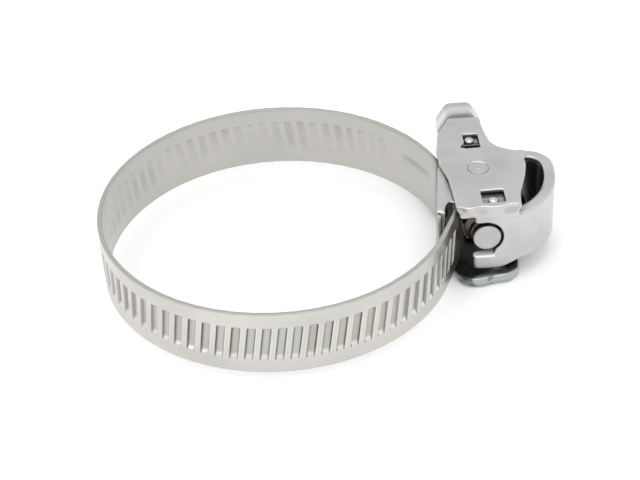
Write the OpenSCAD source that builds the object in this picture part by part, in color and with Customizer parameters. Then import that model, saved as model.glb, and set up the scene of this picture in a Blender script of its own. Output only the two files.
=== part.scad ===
// Quick-release worm-drive hose clamp.
// Z is the ring's axis, X points from the ring's centre to the housing and the screw lies along Y.

/* [Band] */
// Inside diameter of the round part of the band
hose_d = 60.6; // [40:0.2:90]
// Width of the band
band_w = 12; // [9:0.2:16]
// Thickness of the band
band_t = 0.8; // [0.6:0.05:1]
// How far the flattened seat under the housing lies inside the circle
seat_drop = 2.3; // [1.2:0.1:3]
// Turn of the flattened seat about the ring's axis
seat_turn = 7.9; // [4:0.1:10]
// How far the fixed end runs past the front of the bracket's wall
tongue_past = 0.4; // [0.2:0.1:2]
// Angle at which the free end leaves the circle, before the housing
free_leave = 24; // [20:1:28]
// Radius of the bend that lays the free end straight under the screw
free_bend_r = 12; // [9:0.5:16]
// How far the free end lies outside the circle under the screw
free_rise = 1.2; // [0.8:0.1:2]
// Length of the free end past the end of its bend
free_past = 4; // [2:0.5:6]

/* [Pockets] */
// Distance from pocket to pocket round the outside of the band
pocket_pitch = 2.52; // [2.2:0.02:3.2]
// Length of a pocket across the band
pocket_l = 6.3; // [4:0.1:8]
// Width of a pocket along the band
pocket_w = 1.4; // [1:0.1:1.8]
// Depth of a pocket
pocket_depth = 0.45; // [0.2:0.05:0.55]
// Lean of a pocket, the lead angle of the screw's thread
pocket_lean = 8; // [4:0.5:12]
// Angle round the ring from the seat to the first pocket
plain_arc = 42; // [30:1:60]

/* [Screw] */
// Outside diameter of the thread
thread_d = 7.2; // [6:0.1:9]
// Root diameter of the thread
thread_root_d = 5.4; // [5.2:0.1:5.8]
// Threaded length
thread_l = 8; // [6:0.5:9]
// Diameter of the plain shank and of the journal at the tip
shank_d = 5; // [4.6:0.1:5.1]
// Length of the journal at the tip
tip_l = 1.5; // [1:0.1:1.8]
// Diameter of the neck that turns in the rear wall
neck_d = 3.2; // [2.4:0.1:3.6]
// Width across the flats of the hexagon head
head_af = 8; // [7:0.5:9]
// Length of the hexagon
head_l = 9.2; // [5:0.1:10]
// Diameter of the collar under the hexagon
collar_d = 8.6; // [7:0.1:9]
// Thickness of the collar
collar_t = 1.2; // [0.8:0.1:2]
// Width of the screwdriver slot
slot_w = 1.2; // [0.8:0.1:1.6]
// Depth of the screwdriver slot
slot_depth = 1.6; // [1:0.1:2.4]
// Height of the screw's axis above the middle of the band
screw_z = 1; // [0:0.1:1.2]

/* [Housing] */
// Thickness of the carrier's sheet
carrier_t = 0.8; // [0.7:0.05:1]
// Thickness of the front wall and thumb loop
loop_t = 1.8; // [1.4:0.1:2]
// Outside radius of the thumb loop's front
loop_r = 11.5; // [10.5:0.1:13]
// Outside radius of the thumb loop's back
loop_back_r = 5; // [4:0.1:6]
// Distance from the screw's axis to the middle of the loop's front
loop_out = 1.9; // [1:0.1:3]
// Distance from the ring's centre line to the front face of the front wall
front_y = 8.9; // [8.5:0.1:9.5]
// Distance from the ring's centre line to the rear face of the rear wall
rear_y = 20; // [18:0.5:24]
// Distance from the ring's centre line to the carrier's pivot
pivot_y = 3.6; // [2.5:0.1:5]
// Thickness of the bracket's wall and upper cheek
bracket_t = 0.7; // [0.5:0.05:1]
// Thickness of the bracket's lower cheek
floor_t = 1.2; // [0.8:0.1:1.6]
// Depth of the lip turned down along the front of the lower cheek
floor_lip = 0.6; // [0.2:0.1:1]

/* [Rivets and studs] */
// Diameter of the pivot rivets' shanks
pivot_d = 2.6; // [2:0.1:3]
// Diameter of the pivot rivets' heads
pivot_head_d = 3.7; // [3.4:0.1:4.2]
// Diameter of the stop studs' domes
stud_d = 1.8; // [1.4:0.1:1.9]
// Diameter of the rivets that hold the band's fixed end
band_rivet_d = 2; // [1.6:0.1:2.4]
// Thickness of the return spring
spring_t = 0.5; // [0.3:0.05:0.6]
// Height of the return spring
spring_h = 7; // [5:0.5:8]

/* [Clearances] */
// Gap between the band's edges and the bracket's cheeks
edge_gap = 0.1; // [0.05:0.05:0.3]
// Gap between sheets that slide on each other
slide_gap = 0.05; // [0.03:0.01:0.15]
// Radial gap of the neck and of the pivots
turn_gap = 0.05; // [0.02:0.01:0.1]
// Gap between the thread's crest and the band
crest_gap = 0.1; // [0.05:0.05:0.3]
// Gap between the screw's end faces and the walls
end_gap = 0.1; // [0.05:0.05:0.3]

/* [Hidden] */
$fn = 96;
eps = 0.01;
big = 200;

// ring
lap = 0.3;
seat_trim = 0.15;
ring_in = hose_d / 2;
ring_out = ring_in + band_t;
seat_in = ring_in - seat_drop;
seat_half = sqrt(ring_in * ring_in - seat_in * seat_in);
wall_in = seat_in + band_t;
seat_back = sqrt(ring_out * ring_out - wall_in * wall_in) - seat_trim;
seat_clear = 1;
back_share = 0.86;
front_share = 0.33;
wall_back = seat_half * back_share;
wall_front = seat_half * front_share;
tongue_front = wall_front + tongue_past;
free_x = ring_out + free_rise;
free_run_y = free_bend_r * sin(free_leave);
leave_x = ring_out * cos(free_leave);
leave_y = -ring_out * sin(free_leave);
run_x = free_x - free_bend_r * (1 - cos(free_leave)) - leave_x;
run_l = run_x / sin(free_leave);
bend_y = leave_y + run_l * cos(free_leave) + free_run_y;
pocket_step = pocket_pitch / ring_out * 180 / PI;
pocket_count = floor((360 - plain_arc - free_leave) / pocket_step);
run_pockets = floor(run_l / pocket_pitch);

// screw
thread_r = thread_d / 2;
root_r = thread_root_d / 2;
shank_r = shank_d / 2;
tip_recess = 0.5;
axis_x = free_x + crest_gap + thread_r;
tip_y = tip_recess - front_y;
thread_y = tip_y + tip_l;
shoulder_y = rear_y - carrier_t - end_gap;
collar_y = rear_y + end_gap;
head_y = collar_y + collar_t;
lead = pocket_pitch;
steps = 20;
foot_half = 0.95;
crest_half = 0.3;
foot_sink = 0.25;
least_rise = 0.25;
rib_inset = 1.05;
rib_from = thread_y + rib_inset;
rib_steps = floor((thread_l - 2 * rib_inset) / lead * steps);

// levels above the middle of the band
wall_rise = 0.7;
loop_rise = 2;
lip_h = 2;
rim_drop = 2.3;
cheek_z = band_w / 2 + edge_gap;
plate_z = cheek_z + bracket_t + slide_gap;
top_z = plate_z + carrier_t;
arm_z = edge_gap + slide_gap - cheek_z;
wall_floor_z = wall_rise - cheek_z;
loop_floor_z = loop_rise - cheek_z;
lip_z = top_z - lip_h;
rim_front_z = top_z - rim_drop;

// bracket
rivet_spread = (wall_back + wall_front) / 4;
rivet_mid = (wall_back - wall_front) / 2;
rivet_at = [rivet_mid - rivet_spread, rivet_mid + rivet_spread];
cheek_gap = 0.15;
cheek_front = front_y - loop_t - cheek_gap;
fold_w = 5.5;
stop_x = axis_x + thread_r + 2 * crest_gap;
stop_y = 1;
stop_w = 3.2;
stop_top = screw_z + spring_h / 2;
pin_d = stud_d * 0.6;
stud_rise = 0.75;
stud_at = [[axis_x - 0.2, pivot_y + 9.6], [axis_x + 1.2, pivot_y - 9.5]];
cheek_hole = [axis_x - 1.4, pivot_y + 6.2];
cheek_hole_size = [3, 2.3];

// Edge of the folds over the band, in the seat's own frame, with its front slanting back from the wall
fold_square = 0.4;
fold_slant = 3;
fold_start = 0.6;
fold_edge = [[seat_in, -wall_front], [seat_in + fold_square, -wall_front],
             [seat_in + fold_slant, fold_start], [seat_in + fold_w, fold_start],
             [seat_in + fold_w, wall_back], [seat_in, wall_back]];
// Edges of the cheeks and of the carrier's plate, as offsets from the screw's axis
upper_edge = [[-6.2, -4.6], [-3.4, -cheek_front], [2.6, -cheek_front], [5.2, -5.2], [5.2, 8], [2.2, 15.2],
              [-3.6, 15.2], [-6.4, 9]];
floor_edge = [[-6.2, -5.6], [-4.3, -10.2], [-2.1, -10.9], [1.1, -10.2], [4, -9.9], [5.9, -8.2], [6.4, -3.8],
              [7.5, -2.4], [7.5, 4], [5.2, 8], [2.2, 15.2], [-3.6, 15.2], [-6.4, 9]];
plate_edge = [[-6.6, 10.1], [-5.8, 15.2], [-3.1, rear_y], [2.6, rear_y], [2.9, 15.4], [3.4, 12], [4.6, 10],
              [6.4, 9], [8.6, 8], [8.6, 3.8], [7.9, 0.6], [6.2, -4.6], [5.6, -front_y], [-4.7, -front_y],
              [-5.5, 1.1 - front_y], [-5.5, -4.6], [-5.7, 1], [-6.7, 5.9]];
floor_lip_at = [-2.1, -10.6];
floor_lip_size = [6, 1];

// rivets
head_t = 0.5;
band_head_d = band_rivet_d * 1.5;
sink = 0.25;

// carrier
tail_left = 3.1;
tail_w = 5.7;
arm_w = 5.2;
arm_front = pivot_y - 3;
wall_left = 2.4;
lip_left = 4.9;
lip_w = 8.7;
notch_r = 3.3;
notch_at = [-0.5, 0.2];
notch_up = 3.4;
notch_down = 3.55;
notch_left = 6;
notch_right = 0.1;
loop_turn = 6;
loop_wrap = 86;
loop_step = 4;
loop_centre = [axis_x + loop_out, loop_r - front_y];
loop_back_at = loop_centre + (loop_r - loop_back_r) * [cos(loop_turn), sin(loop_turn)];
rim_slope = 9.4;
step_from = 1.6;
step_to = 6.4;
window_rear = [-1.25, pivot_y + 6.4];
window_rear_size = [2.7, 4.6];
window_front = [-0.7, pivot_y - 10.7];
window_front_size = [3.95, 3.65];

// spring
spring_wrap = 88;
spring_out = stop_x + end_gap - loop_centre[0];
spring_reach = loop_r - loop_t - end_gap;
spring_back = loop_centre[1] - stop_y;
spring_r = (spring_reach * spring_reach - spring_back * spring_back - spring_out * spring_out)
           / (2 * (spring_reach + spring_back));
spring_low = screw_z - spring_h / 2;

// Sector of a disc from angle a to angle b, less than a half turn
module sector(r, a, b) {
    reach = r * 2;
    intersection() {
        circle(r);
        polygon([[0, 0], reach * [cos(a), sin(a)], reach * [cos((a + b) / 2), sin((a + b) / 2)],
                 reach * [cos(b), sin(b)]]);
    }
}

// The same sector of a flat ring of width t
module ring_sector(r, t, a, b) {
    difference() {
        sector(r, a, b);
        circle(r - t);
    }
}

// Slab of plan shape between two heights
module slab(z_low, z_high) {
    translate([0, 0, z_low]) linear_extrude(z_high - z_low) children();
}

// Everything drawn in the seat's own frame, with X square to the flattened seat
module at_seat() {
    rotate([0, 0, -seat_turn]) children();
}

// ---------------------------------------------------------------- band
module pocket_cut() {
    rotate([-pocket_lean, 0, 0])
        translate([-pocket_depth, -pocket_w / 2, -pocket_l / 2])
            cube([band_t * 2, pocket_w, pocket_l]);
}

// The ring is cut away in front of the flattened seat, whose strip runs on into the ring's thickness at the
// back. The straight stretches are a hair thinner than the curved ones and run into them.
module band_plan() {
    reach = ring_out * 2;
    difference() {
        circle(ring_out);
        circle(ring_in);
        at_seat() polygon([[0, 0], reach * [cos(free_leave - seat_turn), -sin(free_leave - seat_turn)],
                           [reach, 0], [reach, seat_back + seat_clear],
                           [wall_in - 2 * eps, seat_back + seat_clear],
                           [wall_in - 2 * eps, 0]]);
    }
    at_seat() translate([seat_in, -tongue_front]) square([band_t, seat_back + tongue_front]);
    rotate([0, 0, -free_leave])
        translate([ring_in + eps, -lap]) square([band_t - 2 * eps, run_l + 2 * lap]);
    translate([free_x - free_bend_r, bend_y]) ring_sector(free_bend_r, band_t, -free_leave, 0);
    translate([free_x - band_t + eps, bend_y - lap]) square([band_t - 2 * eps, free_past + lap]);
}

module band() {
    color("gainsboro") difference() {
        slab(-band_w / 2, band_w / 2) band_plan();
        for (i = [0 : pocket_count - 1])
            rotate([0, 0, -free_leave - pocket_step * (i + 0.5)])
                translate([ring_out, 0, 0]) pocket_cut();
        for (i = [0 : run_pockets - 1])
            rotate([0, 0, -free_leave])
                translate([ring_out, pocket_pitch * (i + 0.5), 0]) pocket_cut();
        at_seat() for (along = rivet_at)
            translate([seat_in - eps, along, 0])
                rotate([0, 90, 0]) cylinder(h = band_t + 2 * eps, d = band_rivet_d);
    }
}

// ---------------------------------------------------------------- bracket
// The bracket is folded from one sheet: a wall on the flattened seat, a cheek above and one below the band
module cheek_plan(edge) {
    difference() {
        union() {
            translate([axis_x, 0]) polygon(edge);
            at_seat() polygon(fold_edge);
        }
        translate([axis_x, pivot_y]) circle(d = pivot_d);
    }
}

module rivet_axes() {
    at_seat() for (along = rivet_at) translate([seat_in, along, 0]) rotate([0, 90, 0]) children();
}

module bracket() {
    color("silver") difference() {
        union() {
            slab(cheek_z, cheek_z + bracket_t) cheek_plan(upper_edge);
            slab(-cheek_z - floor_t, -cheek_z) cheek_plan(floor_edge);
            slab(-cheek_z - floor_t - floor_lip, eps - cheek_z - floor_t)
                translate([axis_x, 0] + floor_lip_at) square(floor_lip_size);
            slab(-cheek_z - eps, cheek_z + eps)
                at_seat() translate([wall_in, -wall_front]) square([bracket_t, wall_front + wall_back]);
            slab(-cheek_z - eps, stop_top) translate([stop_x, stop_y]) square([stop_w, bracket_t]);
        }
        rivet_axes() cylinder(h = fold_w, d = band_rivet_d);
        slab(cheek_z - eps, cheek_z + bracket_t + eps) translate(cheek_hole) square(cheek_hole_size);
        for (at = stud_at)
            translate([at[0], at[1], cheek_z - eps]) cylinder(h = bracket_t + 2 * eps, d = pin_d);
    }
}

// Rivets through the fixed end of the band and the bracket's wall
module band_rivets() {
    color("silver") rivet_axes() {
        cylinder(h = band_t + bracket_t, d = band_rivet_d);
        translate([0, 0, band_t + bracket_t]) cylinder(h = head_t, d = band_head_d);
    }
}

// A round length between two heights
module post(z_low, z_high, d) {
    translate([0, 0, z_low]) cylinder(h = z_high - z_low, d = d);
}

// Short rivets above and below the screw, on which the carrier rocks
module pivot_rivets() {
    sunk_z = top_z - sink + slide_gap;
    arm_top = arm_z + carrier_t + slide_gap;
    color("silver") translate([axis_x, pivot_y, 0]) {
        post(cheek_z - head_t, cheek_z, pivot_head_d);
        post(cheek_z - eps, sunk_z + eps, pivot_d);
        post(sunk_z, top_z - slide_gap, pivot_head_d);
        post(-cheek_z - floor_t, arm_top + eps, pivot_d);
        post(arm_top, arm_top + head_t, pivot_head_d);
    }
}

// Domed studs that stand in the carrier's windows and stop its rocking
module stop_studs() {
    dome_z = cheek_z + bracket_t;
    color("gainsboro") for (at = stud_at) translate([at[0], at[1], 0]) {
        post(cheek_z, dome_z + eps, pin_d);
        intersection() {
            translate([0, 0, dome_z + stud_rise - stud_d / 2]) sphere(d = stud_d);
            post(dome_z, dome_z + stud_d, stud_d * 2);
        }
    }
}

// Bent leaf between the bracket's stop and the inside of the front wall
module return_spring() {
    color("dimgray") translate([loop_centre[0] + spring_out, stop_y - spring_r, 0])
        slab(spring_low, spring_low + spring_h) {
            ring_sector(spring_r, spring_t, -spring_wrap, 0);
            ring_sector(spring_r, spring_t, 0, spring_wrap);
        }
}

// ---------------------------------------------------------------- carrier
// The carrier is one folded sheet: a plate over the bracket, a rear wall with a lower arm, a front wall
// with the open notch for the screw's tip, and the thumb loop that runs on from it to the plate's outer ear.
function loop_line(in) = concat(
    [for (a = [-90 : loop_step : loop_turn - 1]) loop_centre + (loop_r - in) * [cos(a), sin(a)]],
    [for (a = [loop_turn : loop_step : loop_wrap]) loop_back_at + (loop_back_r - in) * [cos(a), sin(a)]]);

module loop_plan() {
    inner = loop_line(loop_t);
    corner = [axis_x - wall_left, -front_y];
    polygon(concat([corner], loop_line(0), [for (i = [len(inner) - 1 : -1 : 0]) inner[i]],
                   [corner + [0, loop_t]]));
}

// Front wall and loop, cut to their sloping upper rim and stepped lower edge
module loop() {
    difference() {
        slab(wall_floor_z, top_z - eps) loop_plan();
        translate([axis_x + loop_out, -front_y, rim_front_z]) rotate([rim_slope, 0, 0])
            cube([big, big, big]);
        translate([axis_x, big / 2, 0]) rotate([90, 0, 0]) linear_extrude(big)
            polygon([[step_from, wall_floor_z - eps], [step_to, loop_floor_z], [big, loop_floor_z],
                     [big, wall_floor_z - eps]]);
    }
}

module tip_notch() {
    translate([axis_x, -front_y - eps, screw_z]) rotate([-90, 0, 0]) linear_extrude(loop_t + end_gap) {
        translate([notch_at[0], -notch_at[1]]) circle(notch_r);
        translate([-notch_left, -notch_up]) square([notch_left + notch_right, notch_up + notch_down]);
    }
}

module release_carrier() {
    color("lightgray") difference() {
        union() {
            slab(plate_z, top_z) translate([axis_x, 0]) polygon(plate_edge);
            loop();
            slab(lip_z, top_z - eps) translate([axis_x - lip_left, -front_y]) square([lip_w, carrier_t]);
            slab(arm_z, top_z - eps)
                translate([axis_x - tail_left, rear_y - carrier_t]) square([tail_w, carrier_t]);
            slab(arm_z, arm_z + carrier_t)
                translate([axis_x - arm_w / 2, arm_front]) square([arm_w, rear_y - arm_front - eps]);
        }
        tip_notch();
        slab(plate_z - eps, top_z + eps) translate([axis_x, 0]) {
            translate(window_rear) square(window_rear_size);
            translate(window_front) square(window_front_size);
        }
        translate([axis_x, pivot_y, 0]) {
            post(arm_z - eps, top_z + eps, pivot_d + 2 * turn_gap);
            post(top_z - sink, top_z + eps, pivot_head_d + 2 * turn_gap);
        }
        translate([axis_x, 0, screw_z])
            along_y(rear_y - carrier_t - eps, carrier_t + 2 * eps) circle(d = neck_d + 2 * turn_gap);
    }
}

// ---------------------------------------------------------------- screw
// One rib runs round the root: each ring of points has two feet sunk in the root and two crest corners, and
// the crest rises over the first quarter turn and falls over the last.
function thread_point(i, r, dy) =
    let (a = i * 360 / steps) [r * cos(a), rib_from + lead * i / steps + dy, r * sin(a)];
thread_points = [for (i = [0 : rib_steps])
    let (grow = min(1, min(i, rib_steps - i) / (steps / 4)),
         crest = root_r + least_rise + (thread_r - root_r - least_rise) * grow)
    each [thread_point(i, root_r - foot_sink, -foot_half), thread_point(i, crest, -crest_half),
          thread_point(i, crest, crest_half), thread_point(i, root_r - foot_sink, foot_half)]];

module thread() {
    n = rib_steps;
    polyhedron(points = thread_points, convexity = 8, faces = concat(
        [[0, 1, 2, 3]], [[4 * n + 3, 4 * n + 2, 4 * n + 1, 4 * n]],
        [for (i = [0 : n - 1], k = [0 : 3])
            let (a = 4 * i + k, b = 4 * i + (k + 1) % 4) each [[a, a + 4, b], [b, a + 4, b + 4]]]));
}

module along_y(y, h) {
    translate([0, y, 0]) rotate([-90, 0, 0]) linear_extrude(h) children();
}

module worm_screw() {
    color("silver") translate([axis_x, 0, screw_z]) difference() {
        union() {
            along_y(tip_y, tip_l) circle(shank_r);
            along_y(thread_y, thread_l) circle(root_r);
            thread();
            along_y(thread_y + thread_l, shoulder_y - thread_y - thread_l) circle(shank_r);
            along_y(shoulder_y - eps, collar_y - shoulder_y + 2 * eps) circle(d = neck_d);
            along_y(collar_y, collar_t) circle(d = collar_d);
            along_y(head_y - eps, head_l) circle(d = head_af / cos(30), $fn = 6);
        }
        translate([-head_af, head_y + head_l - slot_depth, -slot_w / 2])
            cube([2 * head_af, slot_depth + eps, slot_w]);
    }
}

band();
bracket();
band_rivets();
pivot_rivets();
stop_studs();
return_spring();
release_carrier();
worm_screw();
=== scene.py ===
import math
import random
import bpy
import numpy as np
from mathutils import Matrix, Vector


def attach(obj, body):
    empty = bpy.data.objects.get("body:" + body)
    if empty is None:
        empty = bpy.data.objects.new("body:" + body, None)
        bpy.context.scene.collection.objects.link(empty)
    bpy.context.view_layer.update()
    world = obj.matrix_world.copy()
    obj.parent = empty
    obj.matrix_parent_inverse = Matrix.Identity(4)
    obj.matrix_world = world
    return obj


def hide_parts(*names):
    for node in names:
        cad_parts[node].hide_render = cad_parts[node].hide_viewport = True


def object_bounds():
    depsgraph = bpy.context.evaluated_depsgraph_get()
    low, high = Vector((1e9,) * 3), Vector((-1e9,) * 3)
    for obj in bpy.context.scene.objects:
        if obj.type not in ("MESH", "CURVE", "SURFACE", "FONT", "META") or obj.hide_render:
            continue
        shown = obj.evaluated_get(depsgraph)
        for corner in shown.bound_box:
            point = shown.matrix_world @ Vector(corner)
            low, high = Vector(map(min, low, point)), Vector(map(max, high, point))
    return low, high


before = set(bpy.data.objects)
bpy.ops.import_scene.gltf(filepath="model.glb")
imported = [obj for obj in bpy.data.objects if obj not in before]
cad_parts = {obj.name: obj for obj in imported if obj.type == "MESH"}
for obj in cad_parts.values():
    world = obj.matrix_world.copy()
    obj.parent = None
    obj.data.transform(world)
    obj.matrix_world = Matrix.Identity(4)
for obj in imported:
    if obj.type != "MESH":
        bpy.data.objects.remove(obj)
cad_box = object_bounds()
MM = 0.001

# Camera: a short telephoto that looks down on the clamp from the front, with the housing at the right.
camera_lens = 82.7
camera_distance = 260
camera_height = math.radians(36.30)
camera_roll = math.radians(4.06)
camera_pan = math.radians(1.616)
camera_tilt = math.radians(-0.553)
camera_sensor = 36

look = Vector((0, math.cos(camera_height), -math.sin(camera_height)))
side = Vector((1, 0, 0))
level = Matrix((side, side.cross(look), look))
rolled = Matrix.Rotation(camera_roll, 3, "Z")
tilted = Matrix.Rotation(camera_tilt, 3, "X")
panned = Matrix.Rotation(-camera_pan, 3, "Y")
axes = rolled @ tilted @ panned @ level
camera_data = bpy.data.cameras.new("studio_camera")
camera_data.lens = camera_lens
camera_data.sensor_width = camera_sensor
camera_data.clip_start = 0.01
camera = bpy.data.objects.new("studio_camera", camera_data)
facing = Matrix((axes[0], axes[1], -axes[2])).transposed().to_4x4()
camera.matrix_world = Matrix.Translation(-look * camera_distance * MM) @ facing
bpy.context.scene.collection.objects.link(camera)
bpy.context.scene.camera = camera

# Studio: a white floor, a white surround, one large soft light overhead and a weak one at the side. The
# surround is a little brighter low down, so that flat sheet and upright sheet differ.
floor_drop = 0.05
floor_half = 3
light_table = (
    ("overhead_light", (0.0, -0.10, 0.80), 0.80, 2.4),
    ("side_light", (-0.60, -0.35, 0.35), 0.30, 0.25),
)
floor_z = cad_box[0][2] - floor_drop * MM
floor_mesh = bpy.data.meshes.new("floor")
floor_signs = ((-1, -1), (1, -1), (1, 1), (-1, 1))
floor_corners = [(x * floor_half, y * floor_half, floor_z) for x, y in floor_signs]
floor_mesh.from_pydata(floor_corners, [], [(0, 1, 2, 3)])
floor = bpy.data.objects.new("floor", floor_mesh)
bpy.context.scene.collection.objects.link(floor)
floor_paint = bpy.data.materials.new("white_floor")
floor_paint.use_nodes = True
floor_shader = floor_paint.node_tree.nodes["Principled BSDF"]
floor_shader.inputs["Base Color"].default_value = (0.96, 0.96, 0.96, 1)
floor_shader.inputs["Roughness"].default_value = 0.9
floor_shader.inputs["Emission Color"].default_value = (1, 1, 1, 1)
floor_shader.inputs["Emission Strength"].default_value = 0.12
floor_mesh.materials.append(floor_paint)
for light_name, light_at, light_size, light_power in light_table:
    light_data = bpy.data.lights.new(light_name, "AREA")
    light_data.size = light_size
    light_data.energy = light_power
    light = bpy.data.objects.new(light_name, light_data)
    light.location = light_at
    light.rotation_euler = (-Vector(light_at)).to_track_quat("-Z", "Y").to_euler()
    bpy.context.scene.collection.objects.link(light)
world = bpy.data.worlds.new("white_surround")
world.use_nodes = True
bpy.context.scene.world = world
world_nodes = world.node_tree.nodes
world_links = world.node_tree.links
world_place = world_nodes.new("ShaderNodeTexCoord")
world_split = world_nodes.new("ShaderNodeSeparateXYZ")
world_ramp = world_nodes.new("ShaderNodeValToRGB")
world_links.new(world_place.outputs["Generated"], world_split.inputs[0])
world_links.new(world_split.outputs["Z"], world_ramp.inputs["Fac"])
world_links.new(world_ramp.outputs["Color"], world_nodes["Background"].inputs["Color"])
world_ramp.color_ramp.elements[0].position = 0.0
world_ramp.color_ramp.elements[0].color = (1, 1, 1, 1)
world_ramp.color_ramp.elements[1].position = 1.0
world_ramp.color_ramp.elements[1].color = (0.84, 0.84, 0.85, 1)
world_nodes["Background"].inputs["Strength"].default_value = 1.0
bpy.context.scene.view_settings.view_transform = "Standard"

# Band: one strip of stainless steel, 12 mm wide and 0.8 mm thick, rolled to a ring. Leaning pockets for
# the screw's thread are pressed into its outside and show faintly inside. One end lies flat under the
# housing and the other runs out under the screw.
ring_in = 30.3
band_t = 0.8
band_half = 6.0
seat_turn = math.radians(-7.9)
seat_x = 28.4
tongue_tip = -4.2
seat_bend = 6.0
leave_at = math.radians(-24)
run_l = 7.012
free_bend = 11.6
free_past = 4.0
pocket_pitch = 2.52
pocket_depth = 0.42
pocket_lean = math.tan(math.radians(8))
pocket_total = 63
run_pockets = 2
band_steel_tone = (0.63, 0.61, 0.575)
# Painted reflection tints for the pocket floors, one picked at random for each pocket
pocket_reflection_tones = ((0.36, 0.355, 0.31), (0.42, 0.38, 0.35), (0.43, 0.43, 0.41), (0.37, 0.37, 0.30))
rim_tone = (0.46, 0.455, 0.42)
fade_from, fade_to = 112.0, 142.0
rand = random.Random(7)

ring_mid = ring_in + band_t / 2
ring_out = ring_in + band_t
bend_at_y = math.sqrt((ring_mid - seat_bend) ** 2 - (seat_x - seat_bend) ** 2)
bend_sweep = math.atan2(bend_at_y, seat_x - seat_bend)
ring_from = bend_sweep + seat_turn
ring_to = 2 * math.pi + leave_at
cos_t, sin_t = math.cos(seat_turn), math.sin(seat_turn)


def seat_point(x, y):
    return (x * cos_t - y * sin_t, x * sin_t + y * cos_t)


leave_x = ring_mid * math.cos(leave_at) - run_l * math.sin(leave_at)
leave_y = ring_mid * math.sin(leave_at) + run_l * math.cos(leave_at)
bend_centre = (leave_x - free_bend * math.cos(leave_at), leave_y - free_bend * math.sin(leave_at))
# Each stretch is (length, point on it or centre, radius or 0, heading or first angle)
stretches = [
    (bend_at_y - tongue_tip, seat_point(seat_x, tongue_tip), 0, seat_turn),
    (seat_bend * bend_sweep, seat_point(seat_x - seat_bend, bend_at_y), seat_bend, seat_turn),
    (ring_mid * (ring_to - ring_from), (0, 0), ring_mid, ring_from),
    (run_l, (ring_mid * math.cos(leave_at), ring_mid * math.sin(leave_at)), 0, leave_at),
    (-free_bend * leave_at, bend_centre, free_bend, leave_at),
    (free_past, (bend_centre[0] + free_bend, bend_centre[1]), 0, 0),
]
band_length = sum(stretch[0] for stretch in stretches)
ring_start_s = stretches[0][0] + stretches[1][0]
ring_end_s = ring_start_s + stretches[2][0]


def on_band(along):
    """Middle of the strip at each length along it, and the outward direction there."""
    along = np.asarray(along, float)
    place = np.zeros(along.shape + (2,))
    out = np.zeros(along.shape + (2,))
    start = 0.0
    for index, (length, point, radius, angle) in enumerate(stretches):
        last = index == len(stretches) - 1
        here = (along >= start) & ((along < start + length) | last) if index else along < length
        step = along[here] - start
        if radius:
            turn = angle + step / radius
            out[here] = np.stack((np.cos(turn), np.sin(turn)), -1)
            place[here] = np.array(point) + radius * out[here]
        else:
            out[here] = (math.cos(angle), math.sin(angle))
            heading = np.array((-math.sin(angle), math.cos(angle)))
            place[here] = np.array(point) + step[:, None] * heading
        start += length
    return place, out


pocket_angle = pocket_pitch / ring_out
pocket_at = [ring_end_s - ring_mid * pocket_angle * (i + 0.5) for i in range(pocket_total)][::-1]
pocket_at += [ring_end_s + pocket_pitch * (i + 0.5) for i in range(run_pockets)]
# Across a pocket: (distance from its middle line, share of its depth)
pocket_across = ((0.0, 1.0), (0.2, 1.0), (0.44, 1.0), (0.56, 0.97), (0.62, 0.86), (0.69, 0.16),
                 (0.73, 0.03), (0.80, -0.05), (0.98, -0.03))
# Along a pocket, from its lower end to its upper end
pocket_up = ((-3.42, 0.0), (-3.28, 0.05), (-3.12, 0.30), (-2.86, 0.80), (-2.68, 0.98), (-2.3, 1.0),
             (-1.5, 1.0), (-0.7, 1.0), (0.1, 1.0), (0.9, 1.0), (1.7, 1.0), (2.4, 1.0), (2.8, 1.0),
             (2.96, 0.95), (3.06, 0.6), (3.14, 0.15), (3.24, 0.02))
# By distance across: painted shade on a pocket's wall (above nothing) or painted highlight on its edge
# (below)
wall_shade_and_edge_light = {-0.98: -0.4, -0.73: 0.7, -0.69: 1.0, -0.62: 1.0, -0.56: 0.9, -0.44: 0.25,
               0.44: 0.1, 0.56: 0.5, 0.62: 0.8, 0.69: 0.6, 0.8: -0.8, 0.98: -0.3}
plain_step = 0.9
tail_step = 0.6
# Each column across the strip is (length along it, depth, number of its pocket, painted shade or
# highlight of its wall)
made_columns = []
for number, centre in enumerate(pocket_at):
    before = made_columns[-1][0] if made_columns else 0.0
    gap = centre - pocket_across[-1][0] - before
    fill = max(1, int(gap / plain_step))
    for k in range(fill):
        along = before + gap * (k + 1) / (fill + 1) if made_columns else before
        made_columns.append((along, 0.0, number, 0.0))
    shares = [(-o, d) for o, d in pocket_across[:0:-1]] + list(pocket_across)
    for offset, depth in shares:
        made_columns.append((centre + offset, depth, number, wall_shade_and_edge_light.get(round(offset, 2), 0.0)))
start = made_columns[-1][0]
tail = int((band_length - start) / tail_step)
for k in range(1, tail + 1):
    made_columns.append((start + (band_length - start) * k / tail, 0.0, len(pocket_at) - 1, 0.0))
made_columns.sort(key=lambda column: column[0])
columns, column_depth, column_pocket, column_wall_light = np.array(made_columns).T
column_pocket = column_pocket.astype(int)
first_pocket, last_pocket = pocket_at[0], pocket_at[-1]
lean_share = np.clip(columns / first_pocket, 0, 1)
lean_share = lean_share * np.clip((band_length - columns) / (band_length - last_pocket), 0, 1)
lean_share = np.where((columns >= first_pocket) & (columns <= last_pocket), 1.0, lean_share)

plain_rows = [-5.86, -5.5, -4.9, -4.2, -3.7] + [z for z, _ in pocket_up] + [3.6, 4.2, 4.9, 5.5, 5.86]
row_share = [0.0] * 5 + [share for _, share in pocket_up] + [0.0] * 5
half_t = band_t / 2
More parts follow.
